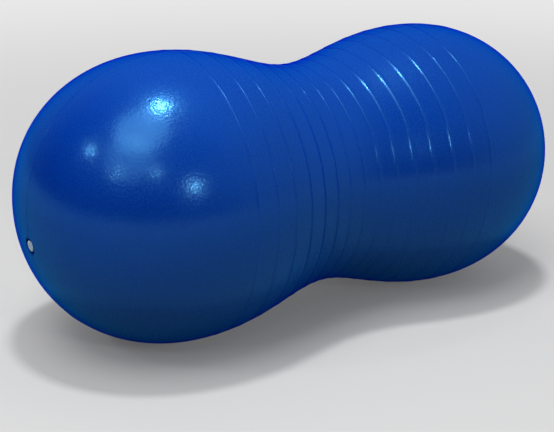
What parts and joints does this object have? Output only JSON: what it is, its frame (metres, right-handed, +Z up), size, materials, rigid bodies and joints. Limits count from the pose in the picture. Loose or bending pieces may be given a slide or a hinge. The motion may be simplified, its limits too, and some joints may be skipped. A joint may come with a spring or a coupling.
{
  "type": "peanut ball",
  "caption": "Inflated peanut-shaped therapy ball: ribbed waist between round lobes, a valve seat near one pole and a push-in plug that pulls out.",
  "frame": {"origin": "on the floor, under the middle of the waist, as the pumped-up ball lies on its two lobes", "axes": "+X along the ball from the valve end to the far end, +Z up"},
  "size_m": [0.9, 0.4202, 0.4186],
  "materials": {
    "skin_vinyl": "satin royal blue vinyl with a fine grain",
    "valve_vinyl": "soft blue vinyl",
    "plug_plastic": "pale grey soft plastic"
  },
  "bodies": {
    "ball": {"ball_skin": "skin_vinyl", "valve_sleeve": "valve_vinyl"},
    "plug": {"valve_plug": "plug_plastic"}
  },
  "joints": [
    {"name": "plug_pull", "type": "slide", "parent": "ball", "child": "plug", "axis": [-0.99, 0, -0.1408], "range_m": [0, 0.04]}
  ]
}
